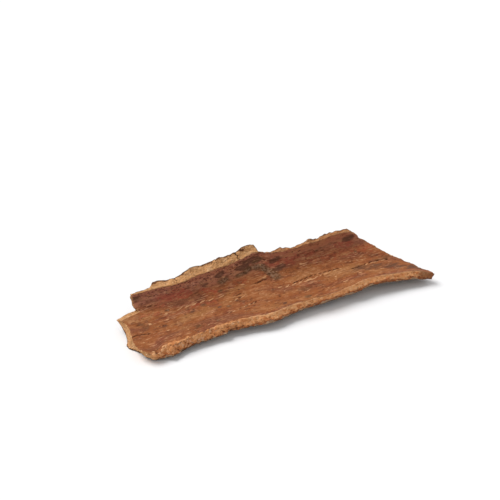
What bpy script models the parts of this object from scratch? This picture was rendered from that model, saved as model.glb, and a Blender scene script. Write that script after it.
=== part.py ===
"""A piece of dried cassia bark, lying on its rough outer side with the smooth inner face up.

The strip was peeled from a branch and dried, so it has curled into an open trough: a nearly flat bed,
a low near rim and a steep far wall. Both ends are broken across, the left one in a step along the
grain, and the right one slants down to a point at the near rim.
"""

import bmesh
import bpy
import numpy as np

MM = 0.001  # the sizes below are millimetres, and Blender's unit is the metre
MIDDLE = (-0.15, 0.65)  # x and y, in the lists below, of the middle of the finished piece, which is the origin

# The block of bark is a grid of cells, along the grain and across it, in two layers through the thickness.
CELLS_ALONG = 66
CELLS_ACROSS = 32
LAYERS = (0.3, 0.7)  # their shares of the thickness, from the inside out
WIDTH_OVER_CURVE = 31.0  # from rim to rim over the inner face, for spacing the relief

# Four guide lines run the length of the inner face, as (x, y, z). A cross-section is the cubic Bezier
# curve that starts at the near rim, is drawn down by the two bed guides and ends at the far rim.
NEAR_RIM = (
    (-48.0, -10.0, 3.9), (-45.5, -10.8, 3.5), (-43.6, -10.5, 3.7), (-41.6, -9.5, 4.2), (-38.0, -9.6, 4.4),
    (-30.0, -8.8, 4.7), (-21.0, -8.4, 5.0), (-14.0, -9.2, 5.1), (-8.0, -10.1, 5.0), (2.0, -10.0, 5.4),
    (14.0, -10.8, 5.6), (20.0, -10.6, 5.8), (26.0, -9.9, 6.2), (33.0, -10.3, 6.2), (39.0, -11.2, 5.8),
    (45.0, -12.3, 5.4), (50.0, -14.6, 4.1),
)
NEAR_BED = ((-50.0, -1.0, 2.7), (-10.0, -1.0, 2.0), (14.0, -2.0, 1.5), (32.0, -2.6, 1.3), (50.0, -6.0, 1.9))
FAR_BED = ((-50.0, 12.6, 3.1), (-28.0, 12.4, 3.0), (-8.0, 13.6, 2.4), (14.0, 12.2, 2.2), (36.0, 10.6, 2.4))
FAR_RIM = (
    (-43.0, 11.4, 10.0), (-37.0, 11.2, 9.9), (-28.0, 10.3, 9.9), (-20.0, 11.1, 10.3), (-12.0, 11.4, 10.4),
    (-5.0, 12.4, 10.7), (0.0, 12.8, 11.2), (4.0, 11.5, 10.6), (8.0, 10.7, 10.3), (12.0, 10.4, 10.3),
    (17.0, 10.4, 10.5), (22.0, 10.3, 10.6), (26.0, 10.4, 10.9), (36.0, 9.8, 10.7),
)

# How far the outer side stands out past the inner face along each rim, as (x, distance), and how much of the
# thickness is left at the far rim, where outer flakes are gone from its corner and from x = 0.6 on.
NEAR_RIM_LIP = (
    (-48.5, 1.6), (-47.0, -0.4), (-45.5, -1.1), (-44.5, -0.8), (-43.0, 0.6), (-41.6, 2.2), (-40.0, 2.4),
    (-38.0, 1.3), (-36.0, 0.5), (-30.0, 0.7), (-22.0, 1.3), (-20.0, 0.1), (-7.0, 1.0), (3.0, -0.3),
    (9.0, -1.4), (18.0, -1.6), (24.0, 0.0), (45.0, 0.0), (50.0, -1.3),
)
FAR_RIM_LIP = (
    (-44.0, -0.8), (-36.5, -0.1), (-33.5, -0.4), (-28.0, -0.8), (-23.0, 1.3), (-18.0, 0.2), (-12.0, 1.2),
    (-7.6, 0.7), (-3.0, 2.0), (0.0, 0.6), (1.0, -1.4), (4.6, -1.1), (7.8, 0.2), (12.0, -1.3), (16.0, -0.6),
    (18.0, 0.4), (21.0, -0.3), (24.0, 0.2), (27.0, 0.0),
)
FAR_RIM_LEFT = (
    (-37.4, 0.42), (-35.6, 1.0), (0.2, 1.0), (1.2, 0.4), (4.0, 0.5), (7.0, 0.65), (12.0, 0.5), (18.0, 0.58),
    (26.0, 0.65),
)
FAR_WALL_FROM = 0.72  # share of the way across where the far wall begins
RIM_RAGGED = 0.22
RIM_RAGGED_SPACING = 2.6

# Where each end is broken, as (share of the way across from the near rim, x). The left end is in two parts,
# with a slanting step between them, and a list of its own has how far its outer side stands out past the
# inner one.
LEFT_END = (
    (0.0, -47.6), (0.07, -48.8), (0.15, -49.6), (0.26, -49.7), (0.38, -48.5), (0.52, -48.5), (0.62, -49.2),
)
STEP = ((0.637, -47.6), (0.66, -43.8), (0.685, -42.2))
LEFT_END_BEYOND_STEP = ((0.73, -43.3), (0.8, -43.7), (1.0, -43.8))
LEFT_END_LIP = (
    (0.0, -2.6), (0.1, -2.9), (0.2, -2.2), (0.28, -0.6), (0.35, 1.2), (0.4, 1.6), (0.47, 0.9), (0.6, 0.0),
    (0.68, -0.3), (0.74, -0.6), (0.85, -0.6), (1.0, -0.2),
)
STEP_SLANT = 0.07  # how much further across the step lies below the inner layer, which has broken back there
CORNER_FLAKE = 0.9  # how far a flake of the middle of the bark stands out at the step's corner
CORNER_AT = 0.68
CORNER_WIDTH = 0.05
RIGHT_END = (
    (0.0, 50.0), (0.05, 49.6), (0.1, 48.8), (0.3, 46.4), (0.52, 42.6), (0.75, 38.4), (0.9, 35.4), (1.0, 32.4),
)
END_RAGGED = 0.35  # how far the torn fibres stray from those lines
LEFT_STRAIGHT = -46.0  # the cells ease from the ends to these two straight lines across
RIGHT_STRAIGHT = 44.0
LEFT_REACH = 0.3  # over these shares of the length
RIGHT_REACH = 0.48

# A crack runs on along the grain from the step in the left end.
CRACK_AT = 0.7  # share of the way across
CRACK_START = -42.4
CRACK_LENGTH = 9.0
CRACK_WIDTH = 0.8
CRACK_DEPTH = 0.35

# The bark thins a little from left to right.
THICK_LEFT = 3.2
THICK_RIGHT = 2.65

# Low relief: furrows along the grain inside, and the lumpy cork outside, each as (along, across) spacing.
FURROW_DEPTH = 0.16
FURROW_SPACING = (26.0, 2.6)
CORK_LUMP = 0.22
CORK_SPACING = (6.5, 3.4)

# Three low lumps of the outer side carry the piece on the table, as (x, y, how far it stands out).
FEET = ((-33.0, -3.2, 1.0), (29.0, -4.0, 1.5), (0.0, 5.8, 1.7))
FOOT_RADIUS = 3.6

BARK_COLOUR = (0.30, 0.115, 0.047, 1.0)
BARK_ROUGHNESS = 0.8


def clear_scene():
    for old in list(bpy.data.objects):
        bpy.data.objects.remove(old, do_unlink=True)


def ease(t):
    """0 to 1 as t goes from 0 to 1, level at both ends and beyond them."""
    t = np.clip(t, 0.0, 1.0)
    return t * t * (3.0 - 2.0 * t)


def line(s, places):
    """The value at s of straight runs between (s, value) places, level beyond the last ones."""
    return np.interp(s, *np.array(places).T)


def wander(s, spacing, seed):
    """A smooth random line along s: seeded heights from -1 to 1 at even spacing, eased into each other."""
    heights = np.random.default_rng(seed).uniform(-1.0, 1.0, 512)
    t = s / spacing + 256.0
    cell = np.floor(t).astype(int)
    blend = ease(t - cell)
    return heights[cell] * (1.0 - blend) + heights[cell + 1] * blend


def rough_field(s, t, spacing, seed):
    """The same in two directions: seeded heights on a grid of that spacing, eased both ways."""
    heights = np.random.default_rng(seed).uniform(-1.0, 1.0, (128, 128))
    s = s / spacing[0] + 64.0
    t = t / spacing[1] + 64.0
    row = np.floor(s).astype(int)
    column = np.floor(t).astype(int)
    down = ease(s - row)
    over = ease(t - column)
    near = heights[row, column] * (1.0 - over) + heights[row, column + 1] * over
    far = heights[row + 1, column] * (1.0 - over) + heights[row + 1, column + 1] * over
    return near * (1.0 - down) + far * down


def guide(x, places):
    """(y, z) of a guide line at x: a cubic through its places, with each slope taken from the neighbours."""
    stations = np.array(places)[:, 0]
    values = np.array(places)[:, 1:]
    slopes = np.gradient(values, stations, axis=0)
    x = np.clip(x, stations[0], stations[-1])
    i = np.clip(np.searchsorted(stations, x) - 1, 0, len(stations) - 2)
    span = stations[i + 1] - stations[i]
    t = ((x - stations[i]) / span)[..., None]
    span = span[..., None]
    return (
        values[i] * (1 + 2 * t) * (1 - t) ** 2
        + slopes[i] * span * t * (1 - t) ** 2
        + values[i + 1] * t * t * (3 - 2 * t)
        + slopes[i + 1] * span * t * t * (t - 1)
    )


def inner_face(x, across):
    """Points of the smooth inner face: at each x, the Bezier curve of the four guides."""
    t = across[..., None]
    yz = (
        guide(x, NEAR_RIM) * (1 - t) ** 3
        + guide(x, NEAR_BED) * 3 * t * (1 - t) ** 2
        + guide(x, FAR_BED) * 3 * t * t * (1 - t)
        + guide(x, FAR_RIM) * t**3
    )
    return np.concatenate([x[..., None], yz], axis=-1)


def into_bark(x, across):
    """Unit normals of the inner face, pointing into the bark, from small steps along and across."""
    step = 0.01
    along = inner_face(x + step, across) - inner_face(x - step, across)
    over = inner_face(x, across + step) - inner_face(x, across - step)
    normal = np.cross(over, along)
    return normal / np.linalg.norm(normal, axis=-1, keepdims=True)


def block_to_strip(u, v, w):
    """(x, share across) of a point of the block: its ends and rims follow the broken outline.

    u runs from the left end to the right one, v from the near rim to the far rim, w from inside to outside.
    """
    arc = v * WIDTH_OVER_CURVE
    below_step = v - STEP_SLANT * ease(w / LAYERS[0]) * ease((v - 0.5) / 0.15)
    left = line(below_step, LEFT_END + STEP + LEFT_END_BEYOND_STEP) - w * line(v, LEFT_END_LIP)
    flake = np.exp(-(((v - CORNER_AT) / CORNER_WIDTH) ** 2))
    flake = flake * line(w, ((0.0, 0.0), (LAYERS[0], 1.0), (1.0, 0.0)))
    left = left - CORNER_FLAKE * flake + END_RAGGED * wander(arc, 1.7, 11)
    right = line(v, RIGHT_END) + END_RAGGED * wander(arc, 1.5, 12)
    x = LEFT_STRAIGHT + (RIGHT_STRAIGHT - LEFT_STRAIGHT) * u
    x = x + (left - LEFT_STRAIGHT) * ease(1.0 - u / LEFT_REACH)
    x = x + (right - RIGHT_STRAIGHT) * ease(1.0 - (1.0 - u) / RIGHT_REACH)
    near = w * line(x, NEAR_RIM_LIP) + RIM_RAGGED * wander(x, RIM_RAGGED_SPACING, 21)
    far = w * line(x, FAR_RIM_LIP) + RIM_RAGGED * wander(x, RIM_RAGGED_SPACING, 22)
    return x, v + (far * v - near * (1.0 - v)) / WIDTH_OVER_CURVE


def thickness(x, across):
    """Thickness of the bark, with the far wall thinned where flakes are gone from its rim."""
    along = ease((x - LEFT_STRAIGHT) / (RIGHT_STRAIGHT - LEFT_STRAIGHT))
    whole = THICK_LEFT + (THICK_RIGHT - THICK_LEFT) * along
    up_wall = ease((across - FAR_WALL_FROM) / (1.0 - FAR_WALL_FROM))
    return whole * (1.0 - (1.0 - line(x, FAR_RIM_LEFT)) * up_wall)


def bark_points(block):
    """The block's (u, v, w) corners carried to their places on the piece of bark, in millimetres."""
    u, v, w = block.T
    x, across = block_to_strip(u, v, w)
    arc = across * WIDTH_OVER_CURVE
    furrow = FURROW_DEPTH * rough_field(x, arc, FURROW_SPACING, 31)
    beside_crack = (across - CRACK_AT) * WIDTH_OVER_CURVE / CRACK_WIDTH
    along_crack = ease(1.0 - (x - CRACK_START) / CRACK_LENGTH)
    crack = CRACK_DEPTH * np.exp(-(beside_crack**2)) * along_crack
    cork = CORK_LUMP * rough_field(x, arc, CORK_SPACING, 32)
    depth = (furrow + crack) * (1.0 - w) + (thickness(x, across) + cork) * w
    points = inner_face(x, across) + into_bark(x, across) * depth[:, None]
    for foot_x, foot_y, stands_out in FEET:
        apart = (points[:, 0] - foot_x) ** 2 + (points[:, 1] - foot_y) ** 2
        points[:, 2] -= w * stands_out * np.exp(-apart / FOOT_RADIUS**2)
    points[:, 2] = np.maximum(points[:, 2], 0.0)
    points[:, :2] -= MIDDLE
    return points


def extruded(block, faces, height):
    """Extrudes those faces up by that height, and returns the raised ones."""
    raised = bmesh.ops.extrude_face_region(block, geom=faces)["geom"]
    corners = [item for item in raised if isinstance(item, bmesh.types.BMVert)]
    bmesh.ops.translate(block, verts=corners, vec=(0.0, 0.0, height))
    return [item for item in raised if isinstance(item, bmesh.types.BMFace)]


def parameter_block():
    """A closed block two layers thick, whose vertices hold (u, v, w) from 0 to 1."""
    block = bmesh.new()
    bmesh.ops.create_grid(block, x_segments=CELLS_ALONG, y_segments=CELLS_ACROSS, size=0.5)
    bmesh.ops.translate(block, verts=block.verts, vec=(0.5, 0.5, 0.0))
    between_layers = extruded(block, block.faces[:], LAYERS[0])
    extruded(block, between_layers, LAYERS[1])
    bmesh.ops.delete(block, geom=between_layers, context="FACES_ONLY")
    return block


def bark_material():
    material = bpy.data.materials.new("dried_bark")
    material.use_nodes = True
    shader = material.node_tree.nodes["Principled BSDF"]
    shader.inputs["Base Color"].default_value = BARK_COLOUR
    shader.inputs["Roughness"].default_value = BARK_ROUGHNESS
    shader.inputs["Metallic"].default_value = 0.0
    return material


def bark_strip():
    """The one piece of bark, as a closed mesh."""
    block = parameter_block()
    mesh = bpy.data.meshes.new("bark")
    block.to_mesh(mesh)
    block.free()
    corners = np.empty(len(mesh.vertices) * 3)
    mesh.vertices.foreach_get("co", corners)
    points = bark_points(corners.reshape(-1, 3)) * MM
    mesh.vertices.foreach_set("co", points.ravel())
    shaped = bmesh.new()
    shaped.from_mesh(mesh)
    bmesh.ops.recalc_face_normals(shaped, faces=shaped.faces)
    shaped.to_mesh(mesh)
    shaped.free()
    mesh.shade_smooth()
    mesh.materials.append(bark_material())
    return bpy.data.objects.new("bark", mesh)


clear_scene()
piece = bpy.data.collections.new("piece_of_bark")
bpy.context.scene.collection.children.link(piece)
piece.objects.link(bark_strip())
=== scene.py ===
"""The looks of one strip of dried cassia bark, curled into a trough and lying with its inner face up."""

import bpy
import numpy as np
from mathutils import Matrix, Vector


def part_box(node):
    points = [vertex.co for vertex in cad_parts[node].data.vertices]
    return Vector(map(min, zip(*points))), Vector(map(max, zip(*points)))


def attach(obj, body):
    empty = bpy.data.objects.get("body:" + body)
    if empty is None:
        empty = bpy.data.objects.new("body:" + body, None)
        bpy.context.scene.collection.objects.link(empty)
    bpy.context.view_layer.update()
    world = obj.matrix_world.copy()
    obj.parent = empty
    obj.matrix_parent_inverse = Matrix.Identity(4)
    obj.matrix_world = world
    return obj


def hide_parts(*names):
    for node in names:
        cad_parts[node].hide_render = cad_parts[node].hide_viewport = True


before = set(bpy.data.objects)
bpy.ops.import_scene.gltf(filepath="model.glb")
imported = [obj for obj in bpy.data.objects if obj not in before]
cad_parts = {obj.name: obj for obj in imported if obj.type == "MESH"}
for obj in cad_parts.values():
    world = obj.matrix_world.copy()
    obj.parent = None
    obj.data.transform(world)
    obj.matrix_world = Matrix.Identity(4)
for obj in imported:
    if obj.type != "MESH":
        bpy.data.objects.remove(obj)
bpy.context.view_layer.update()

# The form of the strip. It was peeled off a branch in one piece, about 3 mm thick, and curled as it dried.
# The inner face is a cubic Bezier curve carried along four guide lines, in millimetres, and the outer side
# lies a thickness below it. These are the solid's own lines, on a grid over four times as fine each way.
MM = 0.001
MIDDLE = (-0.15, 0.65)  # x and y, in the lists below, of the piece's middle, which is the origin
WIDTH_OVER_CURVE = 31.0  # from rim to rim over the inner face

NEAR_RIM = (
    (-48.0, -10.0, 3.9), (-45.5, -10.8, 3.5), (-43.6, -10.5, 3.7), (-41.6, -9.5, 4.2), (-38.0, -9.6, 4.4),
    (-30.0, -8.8, 4.7), (-21.0, -8.4, 5.0), (-14.0, -9.2, 5.1), (-8.0, -10.1, 5.0), (2.0, -10.0, 5.4),
    (14.0, -10.8, 5.6), (20.0, -10.6, 5.8), (26.0, -9.9, 6.2), (33.0, -10.3, 6.2), (39.0, -11.2, 5.8),
    (45.0, -12.3, 5.4), (50.0, -14.6, 4.1),
)
NEAR_BED = ((-50.0, -1.0, 2.7), (-10.0, -1.0, 2.0), (14.0, -2.0, 1.5), (32.0, -2.6, 1.3), (50.0, -6.0, 1.9))
FAR_BED = ((-50.0, 12.6, 3.1), (-28.0, 12.4, 3.0), (-8.0, 13.6, 2.4), (14.0, 12.2, 2.2), (36.0, 10.6, 2.4))
FAR_RIM = (
    (-43.0, 11.4, 10.0), (-37.0, 11.2, 9.9), (-28.0, 10.3, 9.9), (-20.0, 11.1, 10.3), (-12.0, 11.4, 10.4),
    (-5.0, 12.4, 10.7), (0.0, 12.8, 11.2), (4.0, 11.5, 10.6), (8.0, 10.7, 10.3), (12.0, 10.4, 10.3),
    (17.0, 10.4, 10.5), (22.0, 10.3, 10.6), (26.0, 10.4, 10.9), (36.0, 9.8, 10.7),
)

# How far the outer side stands out past the inner face along each rim, as (x, distance), and how much of
# the thickness is left at the far rim, where flakes of the outer layers are gone.
NEAR_RIM_LIP = (
    (-48.5, 1.6), (-47.0, -0.4), (-45.5, -1.1), (-44.5, -0.8), (-43.0, 0.6), (-41.6, 2.2), (-40.0, 2.4),
    (-38.0, 1.3), (-36.0, 0.5), (-30.0, 0.7), (-22.0, 1.3), (-20.0, 0.1), (-7.0, 1.0), (3.0, -0.3),
    (9.0, -1.4), (18.0, -1.6), (24.0, 0.0), (45.0, 0.0), (50.0, -1.3),
)
FAR_RIM_LIP = (
    (-44.0, -0.8), (-36.5, -0.1), (-33.5, -0.4), (-28.0, -0.8), (-23.0, 1.3), (-18.0, 0.2), (-12.0, 1.2),
    (-7.6, 0.7), (-3.0, 2.0), (0.0, 0.6), (1.0, -1.4), (4.6, -1.1), (7.8, 0.2), (12.0, -1.3), (16.0, -0.6),
    (18.0, 0.4), (21.0, -0.3), (24.0, 0.2), (27.0, 0.0),
)
FAR_RIM_LEFT = (
    (-37.4, 0.42), (-35.6, 1.0), (0.2, 1.0), (1.2, 0.4), (4.0, 0.5), (7.0, 0.65), (12.0, 0.5), (18.0, 0.58),
    (26.0, 0.65),
)
FAR_WALL_FROM = 0.72  # share of the way across where the far wall begins
RIM_RAGGED = 0.22  # how far the torn rims stray from their lines
RIM_RAGGED_SPACING = 2.6

# Where each end is broken, as (share of the way across from the near rim, x), with a slanting step in the
# left one, below which the outer layers stand further out.
LEFT_END = (
    (0.0, -47.6), (0.07, -48.8), (0.15, -49.6), (0.26, -49.7), (0.38, -48.5), (0.52, -48.5), (0.62, -49.2),
)
STEP = ((0.637, -47.6), (0.66, -43.8), (0.685, -42.2))
LEFT_END_BEYOND_STEP = ((0.73, -43.3), (0.8, -43.7), (1.0, -43.8))
LEFT_END_LIP = (
    (0.0, -2.6), (0.1, -2.9), (0.2, -2.2), (0.28, -0.6), (0.35, 1.2), (0.4, 1.6), (0.47, 0.9), (0.6, 0.0),
    (0.68, -0.3), (0.74, -0.6), (0.85, -0.6), (1.0, -0.2),
)
STEP_SLANT = 0.07  # how much further across the step lies below the inner layer, which has broken back
STEP_LAYER = 0.3  # that layer's share of the thickness
STEP_SIDE_FROM = 0.5  # the slant comes in from this share of the way across, over the next 0.15
STEP_SIDE_OVER = 0.15
CORNER_FLAKE = 0.9  # how far a flake of the middle layers stands out at the step's corner
CORNER_AT = 0.68
CORNER_WIDTH = 0.05
RIGHT_END = (
    (0.0, 50.0), (0.05, 49.6), (0.1, 48.8), (0.3, 46.4), (0.52, 42.6), (0.75, 38.4), (0.9, 35.4),
    (1.0, 32.4),
)
END_RAGGED = 0.35  # how far the torn ends stray from their lines
LEFT_RAGGED_SPACING = 1.7
RIGHT_RAGGED_SPACING = 1.5
LEFT_STRAIGHT = -46.0  # the cells ease from the ends to these two straight lines across
RIGHT_STRAIGHT = 44.0
LEFT_REACH = 0.3  # over these shares of the length
RIGHT_REACH = 0.48

CRACK_AT = 0.7  # the crack that runs on from the step: its share of the way across, start and sizes
CRACK_START = -42.4
CRACK_LENGTH = 9.0
CRACK_WIDTH = 0.8
CRACK_DEPTH = 0.35
THICK_LEFT = 3.2  # the bark thins a little from left to right
THICK_RIGHT = 2.65
FURROW_DEPTH = 0.16  # furrows along the grain inside, spaced so far along and across
FURROW_SPACING = (26.0, 2.6)
CORK_LUMP = 0.22  # the lumpy cork outside, the same
CORK_SPACING = (6.5, 3.4)
FEET = ((-33.0, -3.2, 1.0), (29.0, -4.0, 1.5), (0.0, 5.8, 1.7))  # the low lumps it lies on: x, y, height
FOOT_RADIUS = 3.6

CELLS = (290, 136, 12)  # along the grain, from rim to rim, and through the thickness


def ease(t):
    """3t^2 - 2t^3: 0 to 1 as t goes from 0 to 1, level at both ends and beyond them."""
    t = np.clip(t, 0.0, 1.0)
    return t * t * (3.0 - 2.0 * t)


def line(s, places):
    """The value at s of straight runs between (s, value) places, level beyond the last ones."""
    return np.interp(s, *np.array(places).T)


def wander(s, spacing, seed):
    """A smooth random line along s: seeded heights from -1 to 1 at even spacing, eased into each other."""
    heights = np.random.default_rng(seed).uniform(-1.0, 1.0, 512)
    t = s / spacing + 256.0
    cell = np.floor(t).astype(int)
    blend = ease(t - cell)
    return heights[cell] * (1.0 - blend) + heights[cell + 1] * blend


def rough_field(s, t, spacing, seed):
    """The same in two directions: seeded heights on a repeating grid of that spacing, eased both ways."""
    heights = np.random.default_rng(seed).uniform(-1.0, 1.0, (128, 128))
    s = s / spacing[0] + 64.0
    t = t / spacing[1] + 64.0
    row = np.floor(s).astype(int)
    column = np.floor(t).astype(int)
    down = ease(s - row)
    over = ease(t - column)
    rows = (row % 128, (row + 1) % 128)
    columns = (column % 128, (column + 1) % 128)
    near = heights[rows[0], columns[0]] * (1.0 - over) + heights[rows[0], columns[1]] * over
    far = heights[rows[1], columns[0]] * (1.0 - over) + heights[rows[1], columns[1]] * over
    return near * (1.0 - down) + far * down


def rough_solid(points, spacing, seed):
    """The same in three directions: the sum over a cell's 8 corners of height times share."""
    heights = np.random.default_rng(seed).uniform(-1.0, 1.0, (64, 64, 64))
    place = points / spacing + 6400.0
    cell = np.floor(place).astype(int)
    blend = ease(place - cell)
    total = 0.0
    for corner in np.ndindex(2, 2, 2):
        share = np.prod(np.where(corner, blend, 1.0 - blend), axis=-1)
        total = total + share * heights[tuple(((cell + corner) % 64).T)]
    return total


def guide(x, places):
    """(y, z) of a guide line at x: a cubic Hermite curve, with each slope taken from the neighbours."""
    stations = np.array(places)[:, 0]
    values = np.array(places)[:, 1:]
    slopes = np.gradient(values, stations, axis=0)
    x = np.clip(x, stations[0], stations[-1])
    i = np.clip(np.searchsorted(stations, x) - 1, 0, len(stations) - 2)
    span = stations[i + 1] - stations[i]
    t = ((x - stations[i]) / span)[..., None]
    span = span[..., None]
    return (
        values[i] * (1 + 2 * t) * (1 - t) ** 2
        + slopes[i] * span * t * (1 - t) ** 2
        + values[i + 1] * t * t * (3 - 2 * t)
        + slopes[i + 1] * span * t * t * (t - 1)
    )


def inner_face(x, across):
    """Points of the inner face: N(1-t)^3 + 3Bt(1-t)^2 + 3Ct^2(1-t) + Ft^3 of the four guides at x."""
    t = across[..., None]
    yz = (
        guide(x, NEAR_RIM) * (1 - t) ** 3
        + guide(x, NEAR_BED) * 3 * t * (1 - t) ** 2
        + guide(x, FAR_BED) * 3 * t * t * (1 - t)
        + guide(x, FAR_RIM) * t**3
    )
    return np.concatenate([x[..., None], yz], axis=-1)


def into_bark(x, across):
    """Unit normals of the inner face, into the bark: the cross product of small steps across and along."""
    step = 0.01
    along = inner_face(x + step, across) - inner_face(x - step, across)
    over = inner_face(x, across + step) - inner_face(x, across - step)
    normal = np.cross(over, along)
    return normal / np.linalg.norm(normal, axis=-1, keepdims=True)


def broken_ends(v, w):
    """x of the left and of the right end, at share v across and share w through the bark."""
    arc = v * WIDTH_OVER_CURVE
    below_step = v - STEP_SLANT * ease(w / STEP_LAYER) * ease((v - STEP_SIDE_FROM) / STEP_SIDE_OVER)
    left = line(below_step, LEFT_END + STEP + LEFT_END_BEYOND_STEP) - w * line(v, LEFT_END_LIP)
    flake = np.exp(-(((v - CORNER_AT) / CORNER_WIDTH) ** 2))
    flake = flake * line(w, ((0.0, 0.0), (STEP_LAYER, 1.0), (1.0, 0.0)))
    left = left - CORNER_FLAKE * flake + END_RAGGED * wander(arc, LEFT_RAGGED_SPACING, 11)
    right = line(v, RIGHT_END) + END_RAGGED * wander(arc, RIGHT_RAGGED_SPACING, 12)
    return left, right


def block_to_strip(u, v, w):
    """(x, share across) of a point of the block: straight ends and rims plus what each strays, eased in."""
    left, right = broken_ends(v, w)
    x = LEFT_STRAIGHT + (RIGHT_STRAIGHT - LEFT_STRAIGHT) * u
    x = x + (left - LEFT_STRAIGHT) * ease(1.0 - u / LEFT_REACH)
    x = x + (right - RIGHT_STRAIGHT) * ease(1.0 - (1.0 - u) / RIGHT_REACH)
    near = w * line(x, NEAR_RIM_LIP) + RIM_RAGGED * wander(x, RIM_RAGGED_SPACING, 21)
    far = w * line(x, FAR_RIM_LIP) + RIM_RAGGED * wander(x, RIM_RAGGED_SPACING, 22)
    return x, v + (far * v - near * (1.0 - v)) / WIDTH_OVER_CURVE


def thickness(x, across):
    """Thickness of the bark: it eases from left to right, thinned where the far rim has lost flakes."""
    along = ease((x - LEFT_STRAIGHT) / (RIGHT_STRAIGHT - LEFT_STRAIGHT))
    whole = THICK_LEFT + (THICK_RIGHT - THICK_LEFT) * along
    up_wall = ease((across - FAR_WALL_FROM) / (1.0 - FAR_WALL_FROM))
    return whole * (1.0 - (1.0 - line(x, FAR_RIM_LEFT)) * up_wall)


def block_surface(cells):
    """Corners, as shares of the block's sides, and four-sided faces of the surface of a block of cells.

    Corner (i, j, k) has the number (i (J+1) + j) (K+1) + k. Each side is a grid of such numbers with its
    faces turned outwards, and a number that two sides share is one corner, so the surface is closed.
    """
    i, j, k = (np.arange(count + 1) for count in cells)
    number = (i[:, None, None] * len(j) + j[:, None]) * len(k) + k
    sides = (
        number[:, :, 0],
        number[:, ::-1, -1],
        number[::-1, 0, :],
        number[:, -1, :],
        number[0, :, :],
        number[-1, ::-1, :],
    )
    quads = [np.stack([s[:-1, :-1], s[1:, :-1], s[1:, 1:], s[:-1, 1:]], axis=-1) for s in sides]
    used, faces = np.unique(np.concatenate([q.reshape(-1, 4) for q in quads]), return_inverse=True)
    corners = np.stack(np.unravel_index(used, number.shape), axis=-1) / np.array(cells)
    return corners, faces.reshape(-1, 4)


def outward(points, faces):
    """Unit normals at the corners: the sum of the area normals of the faces around each."""
    along = points[faces[:, 2]] - points[faces[:, 0]]
    over = points[faces[:, 3]] - points[faces[:, 1]]
    area = np.repeat(np.cross(along, over), 4, axis=0)
    total = np.stack([np.bincount(faces.ravel(), area[:, axis], len(points)) for axis in range(3)], axis=-1)
    return total / np.linalg.norm(total, axis=-1, keepdims=True)


corners, faces = block_surface(CELLS)
u, v, w = corners.T
x, across = block_to_strip(u, v, w)
FINE_RAGGED = 0.24  # the finer tears of the rims, too fine for the solid, in the outer tenth of each side
FINE_RAGGED_SPACING = (0.9, 1.0)
fine_tear = FINE_RAGGED * rough_field(x, 3.0 * w, FINE_RAGGED_SPACING, 45) / WIDTH_OVER_CURVE
across = across + fine_tear * (ease(10.0 * v - 9.0) - ease(1.0 - 10.0 * v))
arc = across * WIDTH_OVER_CURVE  # millimetres from the near rim, over the curve

# Marks on the inner face. It was the slippery side next to the wood: smooth, with fine fibres along the
# grain, and it has split, stained and shed a few fibres as it dried. Each mark is a strength at every
# corner, up to about 1: splits and fibres shape the surface and colour it, and stains and painted shade
# colour it alone.
# All places are (x, arc), in millimetres.

# Splits along the grain: the line they follow, half their width, their depth, their share of gaps, and how
# far apart their dashes are.
SPLITS = (
    (((-49.9, 10.4), (-47.2, 10.7), (-45.3, 10.7), (-42.7, 9.8)), 0.18, 0.4, 0.3, 2.4),
    (((-41.2, 11.9), (-36.9, 11.1)), 0.18, 0.2, 0.8, 1.6),
    (((-41.0, 22.4), (-40.2, 22.5), (-38.4, 22.0), (-35.7, 21.5)), 0.14, 0.12, 0.8, 1.9),
    (((-3.9, 17.5), (-2.4, 17.8), (-0.4, 18.1), (1.3, 18.5)), 0.22, 0.45, 0.25, 2.6),
    (((-12.0, 14.9), (-8.4, 15.0)), 0.18, 0.25, 0.7, 1.9),
    (((-17.4, 7.1), (-11.0, 8.6), (-5.6, 10.0)), 0.18, 0.25, 0.85, 2.1),
    (((7.6, 13.6), (10.7, 14.1), (14.3, 14.9), (20.1, 14.9), (25.1, 14.7)), 0.2, 0.35, 0.6, 1.9),
    (((27.9, 12.3), (30.6, 12.6), (33.4, 13.2)), 0.2, 0.35, 0.2, 3.0),
    (((32.6, 13.0), (35.3, 13.6), (38.1, 13.7), (41.5, 13.4)), 0.34, 0.5, 0.8, 2.7),
    (((11.8, 4.8), (14.9, 5.9)), 0.17, 0.2, 0.6, 1.6),
)
# Raised fibres and flakes: the same, with a height.
LIFTED = (
    (((-31.5, 16.9), (-22.0, 16.6), (-13.5, 16.5)), 0.22, 0.16, 0.95, 2.9),
    (((-25.6, 10.4), (-20.6, 9.9)), 0.2, 0.1, 0.8, 1.9),
    (((-18.0, 6.8), (-7.0, 9.6)), 0.18, 0.08, 0.95, 2.3),
    (((-15.0, 12.4), (-5.6, 14.2)), 0.18, 0.08, 0.95, 2.6),
    (((8.0, 7.4), (11.4, 7.9)), 0.16, 0.08, 0.6, 1.9),
    (((-1.8, 18.6), (1.5, 19.5)), 0.45, 0.25, 0.1, 3.1),
    (((-42.8, 21.2), (-42.0, 21.5), (-40.6, 22.1), (-38.9, 22.9), (-36.6, 23.2)), 0.24, 0.14, 0.3, 2.4),
    (((32.0, 12.2), (35.0, 12.9), (41.0, 12.9)), 0.26, 0.2, 0.8, 2.7),
    (((8.0, 13.2), (25.4, 14.2)), 0.16, 0.08, 0.95, 2.4),
    (((2.0, 12.6), (16.0, 12.9)), 0.2, 0.05, 0.95, 3.0),
    (((22.0, 6.0), (24.0, 6.5)), 0.26, 0.1, 0.2, 1.9),
)
DASH_RISE = 0.3  # each dash rises this much across the grain for each millimetre between dashes
WAVER = 0.16  # how far a mark strays from its line
WAVER_SPACING = 1.7
TAPER = 0.8  # a mark fades out over about this much at each end


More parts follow.
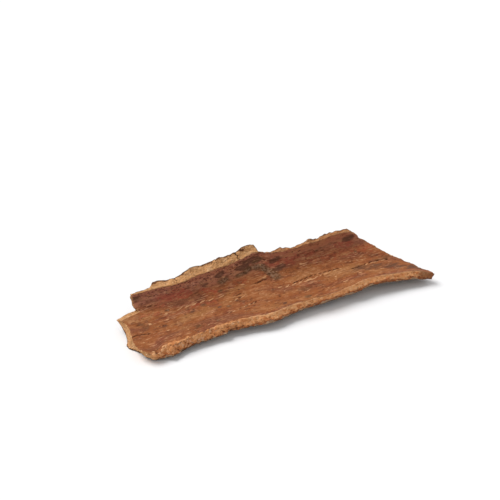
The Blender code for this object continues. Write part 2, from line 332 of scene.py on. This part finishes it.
def along_grain(places, half_width, gaps, dash, seed):
    """Strength of a mark: exp(-(d / half width)^2) of the distance d from its wavering, dashed line."""
    phase = (x / dash + 0.45 * wander(x, 1.3 * dash, seed)) % 1.0
    rise = DASH_RISE * dash * gaps * (phase - 0.5)
    centre = line(x, places) + WAVER * wander(x, WAVER_SPACING, seed + 1) + rise
    whole = ease((x - places[0][0]) / TAPER + 0.3) * ease((places[-1][0] - x) / TAPER + 0.3)
    dashed = 1.0 - gaps * (1.0 - ease(4.0 * phase) * ease(2.2 * (1.0 - phase)))
    uneven = 0.9 + 0.35 * wander(x, 2.3 * dash, seed + 2)
    return whole * dashed * uneven * np.exp(-(((arc - centre) / half_width) ** 2)) * (w == 0.0)


# Stains of old sap and mould, two broad marks of painted shade over the bed at the right end, and patches
# of a redder tone: from, to, half their width, and strength.
DARK_STAINS_AND_PAINTED_SHADE = (
    ((-14.2, 27.0), (-13.2, 27.8), 1.6, 0.95), ((-19.4, 24.0), (-18.9, 24.6), 1.3, 0.75),
    ((-7.0, 26.8), (-4.6, 26.4), 1.9, 0.85), ((-4.0, 28.0), (0.2, 27.8), 1.9, 0.9),
    ((4.5, 26.1), (6.4, 27.0), 1.8, 0.85), ((5.2, 21.4), (7.6, 23.5), 1.4, 0.95),
    ((-5.7, 23.2), (-4.4, 23.2), 1.1, 0.6), ((30.8, 27.3), (32.8, 27.7), 1.9, 0.8),
    ((-43.2, 28.6), (-41.6, 28.4), 1.5, 0.6), ((-18.8, 11.5), (-18.4, 11.5), 0.6, 0.9),
    ((-12.6, 12.3), (-12.2, 12.3), 0.8, 0.55), ((-0.4, 3.4), (0.1, 3.5), 0.7, 0.8),
    ((-27.3, 13.5), (-26.7, 13.6), 1.0, 0.7), ((-37.7, 11.0), (-37.2, 11.0), 0.6, 0.7),
    ((-12.2, 30.2), (-10.8, 30.4), 1.0, 0.6), ((45.0, 5.5), (48.0, 4.0), 2.6, 0.6),
    # The second mark in this line, along the right end's bed, is painted shade, not a stain.
    ((-23.2, 15.3), (-22.6, 15.4), 1.0, 0.6), ((30.0, 12.0), (42.0, 8.5), 3.2, 0.56),
    ((-44.0, 18.0), (-33.0, 17.5), 2.4, 0.42), ((-40.0, 14.5), (-30.0, 13.5), 2.0, 0.36),
)
GREY_STAINS_AND_PAINTED_SHADE = (
    ((-13.7, 23.2), (-12.2, 23.7), 1.9, 0.85), ((-7.6, 23.6), (-4.7, 24.0), 1.3, 0.8),
    ((-4.7, 24.0), (-2.1, 24.6), 1.4, 0.9), ((-2.1, 24.6), (1.2, 24.2), 1.6, 1.0),
    ((1.2, 23.6), (3.0, 21.2), 2.0, 1.0), ((3.0, 20.6), (4.2, 18.4), 2.1, 0.95),
    ((-1.2, 26.6), (1.6, 28.0), 1.4, 0.7), ((-15.8, 19.0), (-15.2, 19.0), 0.9, 0.7),
    ((-22.8, 15.0), (-22.2, 15.2), 1.1, 0.75), ((-16.1, 10.6), (-15.6, 10.7), 0.9, 0.7),
    ((-28.8, 4.8), (-28.3, 4.9), 1.0, 0.7), ((-34.6, 17.8), (-34.0, 17.8), 1.1, 0.7),
    ((7.2, 3.6), (8.2, 3.8), 1.2, 0.6), ((14.8, 11.2), (15.4, 11.3), 1.0, 0.6),
    ((-43.1, 12.7), (-42.4, 12.8), 1.0, 0.5), ((-42.2, 27.4), (-41.0, 27.2), 1.6, 0.6),
    ((21.0, 26.6), (25.0, 27.4), 1.9, 0.5), ((-38.2, 16.5), (-36.4, 16.8), 1.5, 0.4),
    ((7.0, 8.8), (15.0, 9.4), 2.0, 0.3), ((-45.6, 14.5), (-42.4, 14.0), 1.8, 0.4),
    ((-12.0, 8.4), (-7.0, 8.8), 1.3, 0.3), ((-9.0, 12.4), (-6.0, 12.6), 1.5, 0.35),
    # The first mark in this line, along the right end's bed, is painted shade, not a stain.
    ((34.0, 10.5), (44.0, 8.0), 3.2, 0.3), ((38.0, 15.0), (42.0, 14.0), 2.4, 0.4),
    ((-22.2, 4.2), (-21.0, 4.4), 1.1, 0.6),
)
REDDENED = (
    ((3.3, 25.4), (10.4, 24.6), 2.6, 0.8), ((-34.0, 24.6), (-26.0, 23.0), 2.4, 1.0),
    ((-30.0, 27.0), (-27.0, 26.0), 1.6, 0.8), ((-20.5, 22.0), (-17.0, 19.6), 1.8, 0.7),
    ((12.0, 26.0), (18.0, 25.4), 2.2, 0.6), ((-36.5, 21.5), (-34.5, 20.9), 1.4, 0.6),
    ((28.0, 25.7), (32.0, 25.0), 2.0, 0.7), ((-11.0, 20.5), (-6.0, 20.0), 1.8, 0.5),
    ((-26.0, 16.5), (-19.0, 15.0), 1.5, 0.6), ((-21.0, 13.0), (-18.0, 13.0), 1.2, 0.6),
    ((18.0, 21.5), (38.0, 20.5), 3.4, 0.5), ((-45.0, 18.2), (-35.0, 17.6), 2.2, 0.45),
)


def around(start, end, half_width):
    """Strength of a stain or painted shade: exp(-(d / half width)^2) of the distance d from the line from
    start to end.
    """
    run = np.subtract(end, start)
    place = np.stack([x, arc], axis=-1) - start
    share = np.clip(place @ run / (run @ run), 0.0, 1.0)
    apart = np.linalg.norm(place - share[:, None] * run, axis=-1)
    return np.exp(-((apart / half_width) ** 2)) * (w == 0.0)


def spot(at_x, at_arc, radius):
    """Strength of a round mark: that of a stain along a line a tenth of a millimetre long."""
    return around((at_x - 0.05, at_arc), (at_x + 0.05, at_arc), radius)


# Specks of pale dust and torn fibre, chips of tan bark that stand up at the broken near corner, and pits
# between them: (x, arc, radius).
SPECKS = (
    (-34.9, 16.4, 0.42), (-37.5, 8.2, 0.42), (-41.3, 13.6, 0.5), (13.6, 21.8, 0.42), (14.5, 21.5, 0.4),
    (21.5, 10.7, 0.4), (22.0, 6.1, 0.3), (29.5, 16.3, 0.3), (29.5, 8.6, 0.3), (36.4, 8.0, 0.3),
    (-9.6, 8.7, 0.3), (-33.0, 20.9, 0.3), (33.0, 20.5, 0.3), (-12.6, 25.2, 0.4), (0.6, 24.9, 0.35),
)
CHIPS = (
    (-48.8, 3.0, 0.35), (-48.2, 1.6, 0.4), (-47.8, 0.7, 0.35), (-45.7, 1.6, 0.4), (-45.9, 0.6, 0.4),
    (-43.1, 0.4, 0.45), (-42.2, 1.3, 0.35), (-41.4, 0.6, 0.5), (-40.2, 1.2, 0.45), (-39.2, 0.4, 0.5),
    (-38.0, 1.1, 0.4), (-36.6, 0.7, 0.6), (-34.2, 0.9, 0.6),
)
PITS = ((-46.9, 0.8, 0.4), (-44.8, 0.9, 0.45), (-44.0, 0.2, 0.4), (-40.9, 0.0, 0.35), (-37.9, 0.1, 0.4))
SPECK_HEIGHT = 0.15
CHIP_HEIGHT = 0.3
PIT_DEPTH = 0.5
PIT_DARKNESS = 0.6

mark_names = ("split", "lifted", "dark_stain_and_painted_shade", "grey_stain_and_painted_shade", "reddened")
marks = {name: np.zeros(len(corners)) for name in mark_names}
split_depth = np.zeros(len(corners))
lifted_height = np.zeros(len(corners))
for n, (places, half_width, depth, gaps, dash) in enumerate(SPLITS):
    mark = along_grain(places, half_width, gaps, dash, 100 + 3 * n)
    marks["split"] = np.maximum(marks["split"], mark)
    split_depth = np.maximum(split_depth, mark * depth)
for n, (places, half_width, height, gaps, dash) in enumerate(LIFTED):
    mark = along_grain(places, half_width, gaps, dash, 200 + 3 * n)
    marks["lifted"] = np.maximum(marks["lifted"], mark)
    lifted_height = np.maximum(lifted_height, mark * height)
for name, stains_and_painted_shade in (("dark_stain_and_painted_shade", DARK_STAINS_AND_PAINTED_SHADE), ("grey_stain_and_painted_shade", GREY_STAINS_AND_PAINTED_SHADE), ("reddened", REDDENED)):
    for start, end, half_width, strength in stains_and_painted_shade:
        marks[name] = np.maximum(marks[name], strength * around(start, end, half_width))
for speck in SPECKS:
    mark = spot(*speck)
    marks["lifted"] = np.maximum(marks["lifted"], mark)
    lifted_height = np.maximum(lifted_height, SPECK_HEIGHT * mark)
for chip in CHIPS:
    lifted_height = np.maximum(lifted_height, CHIP_HEIGHT * spot(*chip))
for pit in PITS:
    mark = spot(*pit)
    marks["split"] = np.maximum(marks["split"], PIT_DARKNESS * mark)
    split_depth = np.maximum(split_depth, PIT_DEPTH * mark)

# Many finer marks, drawn at random: where each one is, how long it is and how strong. In turn they are
# fibres, splits, pale scuffs and dark scabs.
FINE_MARKS = 520
FINE_DEPTH = 0.2
FINE_HEIGHT = 0.1
FINE_SHOW = 0.8  # how strongly they show, against the marks above
draw = np.random.default_rng(7)
fine_x = draw.uniform(-47.0, 44.0, FINE_MARKS)
fine_arc = draw.uniform(1.0, 29.5, FINE_MARKS)
fine_long = draw.uniform(0.8, 5.0, FINE_MARKS)
fine_size = draw.uniform(0.2, 0.5, FINE_MARKS)
fine_strength = draw.uniform(0.2, 0.8, FINE_MARKS) ** 1.3
for n in range(FINE_MARKS):
    start = (fine_x[n], fine_arc[n])
    if n % 4 < 2:
        end = (fine_x[n] + fine_long[n], fine_arc[n] + 0.05 * fine_long[n])
        mark = along_grain((start, end), 0.16, 0.7, 1.4 + fine_size[n], 300 + 3 * n) * fine_strength[n]
    else:
        end = (fine_x[n] + fine_size[n], fine_arc[n] + 0.1)
        mark = around(start, end, fine_size[n]) * fine_strength[n]
    if n % 2:
        marks["split"] = np.maximum(marks["split"], FINE_SHOW * mark)
        split_depth = np.maximum(split_depth, FINE_DEPTH * mark)
    else:
        marks["lifted"] = np.maximum(marks["lifted"], FINE_SHOW * mark)
        lifted_height = np.maximum(lifted_height, FINE_HEIGHT * mark)

# The torn rims and ends. Torn across, the bark shows its coarse tan inside: gritty stone cells bound in
# fibres, with the thin smooth lining above and the dark cork below. The tear reaches a little way onto the
# inner face, and furthest where the near rim is frayed and beyond the step.
TEAR_REACH = 0.3
STEP_REACH = 0.25  # added beyond the step
FRAYED_REACH = 1.2
FRAYED_FROM = -43.0  # x where the fraying sets in, over the next 3 mm, and has gone, over the last 8 mm
FRAYED_TO = -10.0
RUBBED_FROM = 43.0  # x from which the near rim is rubbed brown, up to the right tip
RIM_CRACKS = ((-28.4, 0.16, 0.4), (-13.7, 0.12, 0.3), (-6.2, 0.2, 0.6))  # far rim: x, half width, depth
TEAR_WANDER = ((0.6, (2.4, 1.6), 43), (0.4, (0.9, 0.7), 46))  # share of the reach, spacing and seed
left_end, right_end = broken_ends(v, w)
frayed = ease((x - FRAYED_FROM) / 3.0) * ease((FRAYED_TO - x) / 8.0) * (v < 0.5)
from_rim = np.minimum(v, 1.0 - v) * WIDTH_OVER_CURVE
from_end = np.minimum(x - left_end, right_end - x)
tear_wander = np.ones(len(corners))
for share, spacing, seed in TEAR_WANDER:
    tear_wander = tear_wander + share * rough_field(x, arc, spacing, seed)
tear_reach = (TEAR_REACH + (FRAYED_REACH - TEAR_REACH) * frayed) * tear_wander
end_reach = (TEAR_REACH + STEP_REACH * (across > CRACK_AT) * (x < 0.0)) * tear_wander
torn = np.exp(-((np.minimum(from_rim / tear_reach, from_end / end_reach)) ** 2))
for chip in CHIPS:
    torn = np.maximum(torn, spot(*chip))
# The pale, cleaner breaks: the left end, and the far rim as far as its notch, at x = 0. Beyond the notch,
# and at the right tip, the tear is rubbed and browner.
beyond_notch = ease(x / 2.0)
fresh = np.maximum(ease(4.0 * v - 1.6) * (1.0 - 0.5 * beyond_notch), ease(1.0 - (x - left_end) / 1.5))
worn = np.where(v < 0.5, ease((x - RUBBED_FROM) / 5.0), 0.6 * beyond_notch)
rim_crack = np.zeros(len(corners))
rim_crack_depth = np.zeros(len(corners))
for at_x, half_width, depth in RIM_CRACKS:
    mark = np.exp(-(((x - at_x - 0.4 * wander(3.0 * w, 0.7, 44)) / half_width) ** 2)) * (v == 1.0)
    rim_crack = np.maximum(rim_crack, mark)
    rim_crack_depth = np.maximum(rim_crack_depth, depth * mark)

# The whole surface, in millimetres: the inner face plus depth along the normals into the bark, then the
# fine relief along the surface's own normals. What would pass the solid's box is held at it.
furrow = FURROW_DEPTH * rough_field(x, arc, FURROW_SPACING, 31)
beside_crack = (across - CRACK_AT) * WIDTH_OVER_CURVE / CRACK_WIDTH
crack = CRACK_DEPTH * np.exp(-(beside_crack**2)) * ease(1.0 - (x - CRACK_START) / CRACK_LENGTH)
cork = CORK_LUMP * rough_field(x, arc, CORK_SPACING, 32)
depth = (furrow + crack) * (1.0 - w) + (thickness(x, across) + cork) * w
depth = depth + split_depth - lifted_height
points = inner_face(x, across) + into_bark(x, across) * depth[:, None]
for foot_x, foot_y, stands_out in FEET:
    apart = (points[:, 0] - foot_x) ** 2 + (points[:, 1] - foot_y) ** 2
    points[:, 2] -= w * stands_out * np.exp(-apart / FOOT_RADIUS**2)

# Fine relief: its height, its spacing along the grain and over it, and a seed. The fibres are on the inner
# face, the grains in the tear, coarser where it is frayed, and the grit and the fissures in the cork.
FIBRES = ((0.02, (7.0, 0.7), 41), (0.05, (3.1, 1.5), 42), (0.02, (1.2, 0.8), 47))
GRAINS = ((0.35, (2.3, 1.2, 1.0), 51), (0.16, (0.7, 0.5, 0.5), 52))
CORK_GRIT = ((0.11, (1.7, 1.1, 1.1), 53), (0.07, (0.7, 0.55, 0.55), 54))
CORK_FROM = 0.7  # share of the way through the bark where the cork begins
FISSURE_DEPTH = 0.32
FISSURE_SPACING = (9.0, 2.3)
FISSURE_NARROW = 0.13  # a fissure is where a rough field passes 0, and this is how near to 0
FISSURED_SPACING = (5.0, 4.0)  # of the patches of cork that have fissures
fibres = sum(height * rough_field(x, arc, spacing, seed) for height, spacing, seed in FIBRES)
grains = sum(height * np.abs(rough_solid(points, spacing, seed)) for height, spacing, seed in GRAINS)
grains = grains * (1.0 - 0.5 * fresh) * (1.0 + 0.6 * frayed) + rim_crack_depth
cork_rough = sum(height * rough_solid(points, spacing, seed) for height, spacing, seed in CORK_GRIT)
fissure_line = np.exp(-((rough_field(x, arc, FISSURE_SPACING, 55) / FISSURE_NARROW) ** 2))
outer = ease((w - CORK_FROM) / (1.0 - CORK_FROM))
fissure = fissure_line * ease(1.5 * rough_field(x, arc, FISSURED_SPACING, 56)) * outer
cork_rough = cork_rough * outer - FISSURE_DEPTH * fissure
relief = fibres * (1.0 - torn) * (w == 0.0) - grains * torn + cork_rough * (1.0 - 0.6 * torn)
points = points + outward(points, faces) * relief[:, None]
points[:, :2] -= MIDDLE
low, high = (np.array(corner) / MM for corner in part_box("bark"))
points = np.clip(points, low, high)

bark_mesh = bpy.data.meshes.new("bark_strip")
bark_mesh.from_pydata(points * MM, [], faces)
# The far wall, which is mottled in its own way and also painted lighter and pinker: painted light that
# lifts the shade it lies in, turned away from the lamp. Both are less so towards the right end.
wall = ease((across - 0.62) / 0.25) * (1.0 - 0.4 * ease(x / 20.0))
marks.update(torn=torn, through=w, fresh=fresh, frayed=frayed, worn=worn, wall=wall)
marks.update(rim_crack=rim_crack, fissure=fissure)
for name, values in marks.items():
    attribute = bark_mesh.attributes.new(name, "FLOAT", "POINT")
    attribute.data.foreach_set("value", values.astype(np.float32))
# A place in the bark: millimetres along the grain, across it and through the bark.
grain_mm = np.stack([x, arc, w * thickness(x, across)], axis=-1)
attribute = bark_mesh.attributes.new("grain_mm", "FLOAT_VECTOR", "POINT")
attribute.data.foreach_set("vector", grain_mm.ravel().astype(np.float32))
bark_mesh.shade_smooth()
bark = bpy.data.objects.new("bark_strip", bark_mesh)
bpy.context.scene.collection.objects.link(bark)
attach(bark, "root")
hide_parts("bark")


# The finish of the strip: dried cassia bark, untreated. The inner face is dense, with a faint sheen; the
# torn inside and the cork are dry and dull. Every pattern is laid out along the grain, in millimetres.
INNER_ROUGHNESS = 0.66
TORN_ROUGHNESS = 0.85
CORK_ROUGHNESS = 0.95
BARK_IOR = 1.48  # dry wood fibre and resin
BARK_SPECULAR = 0.14  # the dry, porous surface scatters most of its shine


def linear(hex_text):
    """Linear RGBA of an sRGB hex colour: c / 12.92 below 0.04045, else ((c + 0.055) / 1.055)^2.4."""
    channels = np.array([int(hex_text[n : n + 2], 16) for n in (1, 3, 5)]) / 255.0
    channels = np.where(channels <= 0.04045, channels / 12.92, ((channels + 0.055) / 1.055) ** 2.4)
    return (*channels, 1.0)


def add(kind, inputs, **settings):
    """Adds a node to the bark's material, with its settings, and its inputs: values, or what feeds them."""
    node = bark_tree.nodes.new(kind)
    for name, value in settings.items():
        setattr(node, name, value)
    for name, value in inputs.items():
        if isinstance(name, int):
            socket = node.inputs[name]
        else:
            socket = next(s for s in node.inputs if s.name == name and s.enabled)
        if isinstance(value, bpy.types.NodeSocket):
            bark_tree.links.new(value, socket)
        else:
            socket.default_value = value
    return node


dried_bark = bpy.data.materials.new("dried_cassia_bark")
dried_bark.use_nodes = True
bark_tree = dried_bark.node_tree
shader = bark_tree.nodes["Principled BSDF"]

# Patterns: length along the grain and width across it in millimetres, detail and roughness. The grain
# itself is finer than the picture shows, so streaks, threads and flecks are drawn as coarse as they need
# to show.
PATTERNS = (
    ("clouds", 24.0, 8.0, 2.0, 0.5),
    ("drifts", 9.0, 4.0, 3.0, 0.6),
    ("blotches", 3.2, 1.8, 3.0, 0.6),
    ("streaks", 7.0, 0.6, 2.0, 0.6),
    ("threads", 2.4, 0.38, 1.0, 0.5),
    ("mottle", 1.25, 0.85, 2.0, 0.6),
    ("flecks", 0.8, 0.55, 1.0, 0.5),
    ("speckle", 0.5, 0.4, 1.0, 0.5),
    ("lumps", 2.6, 1.3, 2.0, 0.6),
    ("scales", 5.0, 2.6, 4.0, 0.65),
)
GRAIN_LENGTH = 0.75
GRAIN_WIDTH = 0.5
place = add("ShaderNodeAttribute", {}, attribute_name="grain_mm").outputs["Vector"]
source = {name: add("ShaderNodeAttribute", {}, attribute_name=name).outputs["Fac"] for name in marks}
for n, (name, along, over, detail, roughness) in enumerate(PATTERNS):
    shift = (7.3 * n, 3.1 * n, 5.7 * n)  # so that no two patterns are cut from the same place
    per_mm = (1.0 / along, 1.0 / over, 1.0 / over)
    scaled = add("ShaderNodeMapping", {"Vector": place, "Location": shift, "Scale": per_mm}).outputs[0]
    cloudy = {"Vector": scaled, "Scale": 1.0, "Detail": detail, "Roughness": roughness}
    source[name] = add("ShaderNodeTexNoise", cloudy).outputs["Fac"]
# The torn face's grains: each is a cell with a tone of its own.
per_mm = (1.0 / GRAIN_LENGTH, 1.0 / GRAIN_WIDTH, 1.0 / GRAIN_WIDTH)
scaled = add("ShaderNodeMapping", {"Vector": place, "Scale": per_mm}).outputs[0]
source["grain"] = add("ShaderNodeTexVoronoi", {"Vector": scaled, "Scale": 1.0}).outputs["Color"]

# Marks with broken edges, and fine patterns that come and go: each is its first source times the share,
# plus its second source.
BROKEN = (
    ("dark_patch", "blotches", 1.0, "dark_stain_and_painted_shade"),
    ("dark_lines", "threads", 1.6, "dark_stain_and_painted_shade"),
    ("dark_dots", "mottle", 2.4, "grey_stain_and_painted_shade"),
    ("grey_patch", "blotches", 1.0, "grey_stain_and_painted_shade"),
    ("grey_dots", "flecks", 2.2, "grey_stain_and_painted_shade"),
    ("red_patch", "mottle", 1.2, "reddened"),
    ("wall_dark", "flecks", 1.0, "wall"),
    ("wall_pale", "mottle", -1.0, "wall"),
    ("fibre", "threads", 1.2, "lifted"),
    ("some_streaks", "clouds", 0.7, "streaks"),
    ("some_threads", "drifts", 0.8, "threads"),
    ("some_mottle", "drifts", 0.8, "mottle"),
    ("torn_edge", "mottle", 1.4, "torn"),
    ("cork_edge", "flecks", 0.12, "through"),
    ("skin", "lumps", 1.2, "through"),
    ("top_edge", "frayed", 0.15, "through"),
    ("low_mottle", "mottle", 1.0, "through"),
    ("low_pits", "flecks", 1.2, "through"),
    ("frayed_pits", "flecks", 1.0, "frayed"),
    ("frayed_tips", "mottle", -1.0, "frayed"),
)
for name, first, share, second in BROKEN:
    both = {0: source[first], 1: share, 2: source[second]}
    source[name] = add("ShaderNodeMath", both, operation="MULTIPLY_ADD").outputs[0]

# Colours, side by side: a base, then layers over it. Each layer fades in as its source goes from the first
# value to the second, up to a share.
FINISH = {
    # Inner face: orange-brown, drifting to red and to dull olive, blotched, flecked and streaked in places.
    "inner": ("#955730", (
        ("clouds", 0.5, 0.66, 0.65, "#7d4e3b"),
        ("clouds", 0.48, 0.32, 0.6, "#9a693c"),
        ("drifts", 0.51, 0.68, 0.65, "#84422e"),
        ("drifts", 0.47, 0.3, 0.5, "#a67347"),
        # The far wall painted lighter and pinker: painted light against its shade, not a colour of the
        # bark.
        ("wall", 0.0, 1.0, 0.6, "#cf8971"),
        ("red_patch", 0.85, 1.4, 0.6, "#a84533"),
        ("blotches", 0.52, 0.68, 0.65, "#6f3f29"),
        ("blotches", 0.46, 0.3, 0.55, "#b57a50"),
        ("some_mottle", 0.99, 1.15, 0.65, "#613621"),
        ("some_mottle", 0.81, 0.66, 0.55, "#ba845c"),
        ("some_streaks", 0.92, 1.1, 0.4, "#6c3d29"),
        ("some_streaks", 0.78, 0.62, 0.35, "#b6825a"),
        ("some_threads", 1.02, 1.15, 0.6, "#c48f68"),
        ("wall_dark", 1.52, 1.66, 0.75, "#57332c"),
        ("wall_pale", 0.56, 0.68, 0.75, "#d59a7c"),
        ("flecks", 0.66, 0.74, 0.7, "#4e2d1d"),
        # These dark and grey patches, lines and dots also carry the painted shade over the right end's bed.
        ("dark_patch", 0.8, 1.25, 0.88, "#644130"),
        ("grey_patch", 0.75, 1.25, 0.75, "#69482e"),
        ("dark_lines", 1.6, 1.9, 0.5, "#a4725a"),
        ("dark_dots", 1.9, 2.35, 0.7, "#452e1b"),
        ("grey_dots", 1.8, 2.25, 0.5, "#b08a6e"),
        ("fibre", 0.85, 1.25, 0.8, "#cf9c70"),
        ("split", 0.12, 0.65, 0.9, "#45200e"),
    )),
    # The near rim's torn face: a pale line under the lining, then tan and orange lumps with dark pits, and
    # a reddish band above the skin. Its base is the tear's own tan-orange painted lighter: painted fill
    # light, as if bounced up from the white table onto a face turned away from the lamp.
    "old_tear_with_painted_fill": ("#de9861", (
        ("lumps", 0.5, 0.64, 0.7, "#c06a3a"),
        ("lumps", 0.46, 0.34, 0.6, "#edb684"),
        ("grain", 0.6, 0.8, 0.4, "#efb886"),
        ("grain", 0.4, 0.25, 0.5, "#a85f32"),
        ("speckle", 0.42, 0.32, 0.4, "#f5c698"),
        ("top_edge", 0.18, 0.03, 0.6, "#f0bb8a"),
        ("skin", 1.2, 1.45, 0.6, "#a4552f"),
        ("low_mottle", 1.05, 1.35, 0.65, "#98502b"),
        ("frayed", 0.2, 1.0, 0.35, "#da935c"),
        ("frayed_pits", 1.57, 1.68, 0.65, "#7c4022"),
        ("frayed_tips", 0.55, 0.68, 0.6, "#f0c29c"),
        ("low_pits", 1.25, 1.45, 0.6, "#64341c"),
        ("skin", 1.44, 1.54, 0.75, "#b59a7c"),
        ("worn", 0.0, 1.0, 0.7, "#73452a"),
    )),
    # The far rim's and the left end's torn faces: cleaner, pale and finely grained.
    "fresh_tear": ("#cf9a68", (
        ("lumps", 0.5, 0.66, 0.6, "#b57e4e"),
        ("lumps", 0.45, 0.33, 0.6, "#e0b286"),
        ("grain", 0.6, 0.8, 0.3, "#dfb288"),
        ("grain", 0.4, 0.2, 0.3, "#b07c4e"),
        ("flecks", 0.59, 0.7, 0.55, "#8c5c36"),
        ("skin", 1.4, 1.52, 0.9, "#6a3f26"),
        ("rim_crack", 0.3, 0.7, 0.9, "#4a2816"),
        ("worn", 0.0, 1.0, 0.6, "#73452a"),
    )),
    # Cork: grey-brown and gritty, darker down its fissures, with paler scales.
    "cork": ("#7b6350", (
        ("scales", 0.5, 0.64, 0.8, "#64493a"),
        ("scales", 0.45, 0.34, 0.5, "#93795f"),
        ("mottle", 0.54, 0.66, 0.6, "#4c3629"),
        ("flecks", 0.44, 0.32, 0.6, "#ab937a"),
        ("fissure", 0.1, 0.7, 0.8, "#3b271d"),
    )),
}
colours = {}
for side, (base, layers) in FINISH.items():
    colour = linear(base)
    for name, start, end, most, over in layers:
        fade = {"Value": source[name], "From Min": start, "From Max": end, "To Max": most}
        share = add("ShaderNodeMapRange", fade, interpolation_type="SMOOTHSTEP").outputs[0]
        colour = add("ShaderNodeMix", {0: share, 6: colour, 7: linear(over)}, data_type="RGBA").outputs[2]
    colours[side] = colour

# Bumps, in millimetres: the sum of what each pattern stands out by.
BUMPS = {
    "inner": (("blotches", 0.45), ("streaks", 0.08), ("threads", 0.08), ("mottle", 0.2)),
    "torn": (("lumps", 0.6), ("grain", 0.2), ("speckle", 0.3), ("flecks", -0.45)),
    "cork": (("scales", 0.3), ("mottle", -0.4), ("flecks", -0.2)),
}
heights = {}
for side, parts in BUMPS.items():
    height = 0.0
    for name, stands_out in parts:
        more = {0: source[name], 1: stands_out, 2: height}
        height = add("ShaderNodeMath", more, operation="MULTIPLY_ADD").outputs[0]
    heights[side] = height

# Where each side shows: torn over inner, and cork over both, each from one value of its edge to the next.
tears = {0: source["fresh"], 6: colours["old_tear_with_painted_fill"], 7: colours["fresh_tear"]}
colours["torn"] = add("ShaderNodeMix", tears, data_type="RGBA").outputs[2]
SIDES = (
    ("torn", "torn_edge", 1.0, 1.25, TORN_ROUGHNESS),
    ("cork", "cork_edge", 0.99, 1.02, CORK_ROUGHNESS),
)
colour = colours["inner"]
height = heights["inner"]
roughness = INNER_ROUGHNESS
for side, edge, start, end, dull in SIDES:
    fade = {"Value": source[edge], "From Min": start, "From Max": end}
    share = add("ShaderNodeMapRange", fade, interpolation_type="SMOOTHSTEP").outputs[0]
    colour = add("ShaderNodeMix", {0: share, 6: colour, 7: colours[side]}, data_type="RGBA").outputs[2]
    height = add("ShaderNodeMix", {0: share, 2: height, 3: heights[side]}, data_type="FLOAT").outputs[0]
    roughness = add("ShaderNodeMix", {0: share, 2: roughness, 3: dull}, data_type="FLOAT").outputs[0]
bump = add("ShaderNodeBump", {"Height": height, "Distance": MM})
bark_tree.links.new(colour, shader.inputs["Base Color"])
bark_tree.links.new(roughness, shader.inputs["Roughness"])
bark_tree.links.new(bump.outputs["Normal"], shader.inputs["Normal"])
shader.inputs["IOR"].default_value = BARK_IOR
shader.inputs["Specular IOR Level"].default_value = BARK_SPECULAR
bark_mesh.materials.append(dried_bark)

# The table: a plain surface of matt white card, with no sheen, that runs out past the view on every side.
FLOOR_SIZE = 12.0
FLOOR_COLOUR = "#f7f7f8"
FLOOR_ROUGHNESS = 0.9
half = FLOOR_SIZE / 2
floor_mesh = bpy.data.meshes.new("floor")
floor_corners = [(-half, -half, 0.0), (half, -half, 0.0), (half, half, 0.0), (-half, half, 0.0)]
floor_mesh.from_pydata(floor_corners, [], [(0, 1, 2, 3)])
white_card = bpy.data.materials.new("white_card")
white_card.use_nodes = True
card_shader = white_card.node_tree.nodes["Principled BSDF"]
card_shader.inputs["Base Color"].default_value = linear(FLOOR_COLOUR)
card_shader.inputs["Roughness"].default_value = FLOOR_ROUGHNESS
floor_mesh.materials.append(white_card)
floor = bpy.data.objects.new("floor", floor_mesh)
bpy.context.scene.collection.objects.link(floor)

# The light: an even white sky, and one large soft lamp high up, from beyond the far rim and from the left.
SKY_COLOUR = "#ffffff"
SKY_STRENGTH = 0.53
LAMP_STRENGTH = 2.3
LAMP_FROM = (-0.47, 0.49, 1.0)
LAMP_SPREAD_DEG = 36.0
world = bpy.data.worlds.new("white_sky")
world.use_nodes = True
sky = world.node_tree.nodes["Background"]
sky.inputs["Color"].default_value = linear(SKY_COLOUR)
sky.inputs["Strength"].default_value = SKY_STRENGTH
bpy.context.scene.world = world
lamp = bpy.data.lights.new("soft_lamp", "SUN")
lamp.energy = LAMP_STRENGTH
lamp.angle = np.radians(LAMP_SPREAD_DEG)
lamp_object = bpy.data.objects.new("soft_lamp", lamp)
lamp_object.rotation_euler = Vector(LAMP_FROM).to_track_quat("Z", "Y").to_euler()
bpy.context.scene.collection.objects.link(lamp_object)
bpy.context.scene.view_settings.view_transform = "Standard"

# The camera: 35 degrees above the table, turned 27 degrees from square on to the near rim. It aims at a
# place on the table, beyond the strip, that is the middle of the picture.
CAMERA_AIM = (6.09, 28.31, 0.0)
CAMERA_AZIMUTH_DEG = -27.0
CAMERA_ELEVATION_DEG = 35.0
CAMERA_DISTANCE = 460.0
LENS = 100.0
SENSOR = 36.0
NEAREST = 0.01  # metres
azimuth, elevation = np.radians((CAMERA_AZIMUTH_DEG, CAMERA_ELEVATION_DEG))
level = np.cos(elevation)
back = Vector((np.sin(azimuth) * level, -np.cos(azimuth) * level, np.sin(elevation)))
camera = bpy.data.cameras.new("camera")
camera.lens = LENS
camera.sensor_width = SENSOR
camera.clip_start = NEAREST
camera_object = bpy.data.objects.new("camera", camera)
camera_object.location = (Vector(CAMERA_AIM) + back * CAMERA_DISTANCE) * MM
camera_object.rotation_euler = back.to_track_quat("Z", "Y").to_euler()
bpy.context.scene.collection.objects.link(camera_object)
bpy.context.scene.camera = camera_object
